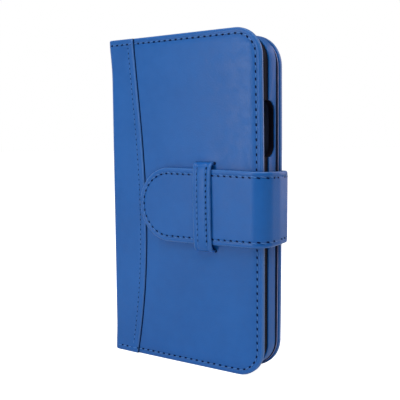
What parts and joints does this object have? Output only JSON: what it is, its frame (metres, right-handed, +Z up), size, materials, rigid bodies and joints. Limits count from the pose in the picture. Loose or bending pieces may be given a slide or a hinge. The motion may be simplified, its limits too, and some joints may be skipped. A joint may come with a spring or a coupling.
{
  "type": "phone wallet case",
  "caption": "Book-style leather phone wallet: hinged front cover with pockets, wrap-round strap through a keeper loop, and a lift-out phone shell.",
  "frame": {"origin": "bottom centre of the closed wallet's bounding box, strap and keeper included", "axes": "+Z up along the spine, -Y out of the front cover, +X from the spine to the free edge"},
  "size_m": [0.0868, 0.0259, 0.152],
  "materials": {
    "outer_leather": "smooth fine-grained leather, soft sheen",
    "strap_backing": "smooth leather",
    "pocket_leather": "thin smooth leather",
    "thread": "twisted polyester thread",
    "microfibre": "short-napped microfibre",
    "moulded_plastic": "matt",
    "board": "raw bookbinding board",
    "steel": "brushed",
    "magnet": "nickel plated"
  },
  "bodies": {
    "rear_cover": {"rear_leather": "outer_leather", "rear_board": "board", "rear_lining": "microfibre", "rear_spine_panel": "outer_leather", "rear_magnets": "magnet", "rear_stitching": "thread", "rear_seam_stitching": "thread", "strap_root_leather": "outer_leather", "strap_root_lining": "strap_backing", "strap_root_stitching": "thread"},
    "spine": {"spine_panel": "outer_leather", "spine_stiffener": "board", "spine_lining": "microfibre"},
    "front_cover": {"front_leather": "outer_leather", "front_board": "board", "front_lining": "microfibre", "front_spine_panel": "outer_leather", "front_stitching": "thread", "front_seam_stitching": "thread", "bill_pocket": "pocket_leather", "card_pocket_upper": "pocket_leather", "card_pocket_middle": "pocket_leather", "card_pocket_lower": "pocket_leather", "pocket_stitching": "thread", "keeper_loop": "outer_leather", "keeper_stitching": "thread"},
    "shell": {"shell_core": "moulded_plastic", "shell_leather": "outer_leather", "shell_lining": "microfibre", "shell_steel_plate": "steel"},
    "strap_side": {"strap_bend_leather": "outer_leather", "strap_bend_lining": "strap_backing", "strap_bend_stitching": "thread"},
    "strap_tongue": {"strap_tongue_leather": "outer_leather", "strap_tongue_lining": "strap_backing", "strap_tongue_stitching": "thread"}
  },
  "joints": [
    {"name": "rear_crease", "type": "hinge", "parent": "rear_cover", "child": "spine", "pos_m": [-0.0421, 0.00905, 0], "axis": [0, 0, -1], "range_deg": [0, 90]},
    {"name": "front_crease", "type": "hinge", "parent": "spine", "child": "front_cover", "pos_m": [-0.0421, -0.00755, 0], "axis": [0, 0, -1], "range_deg": [0, 90]},
    {"name": "strap_rear_bend", "type": "hinge", "parent": "rear_cover", "child": "strap_side", "pos_m": [0.04097, 0.01052, 0.0747], "axis": [0, 0, 1], "range_deg": [0, 90], "deforming": ["strap_bend_leather", "strap_bend_lining", "strap_bend_stitching"]},
    {"name": "strap_front_bend", "type": "hinge", "parent": "strap_side", "child": "strap_tongue", "pos_m": [0.04097, -0.00902, 0.0747], "axis": [0, 0, 1], "range_deg": [0, 90], "deforming": ["strap_tongue_leather", "strap_tongue_lining", "strap_tongue_stitching"]},
    {"name": "shell_lift", "type": "slide", "parent": "rear_cover", "child": "shell", "axis": [0, 0, 1], "range_m": [0, 0.152]}
  ],
  "couplings": [
    {"joint": "front_crease", "follows": "rear_crease", "ratio": 1},
    {"joint": "strap_front_bend", "follows": "strap_rear_bend", "ratio": 1}
  ]
}
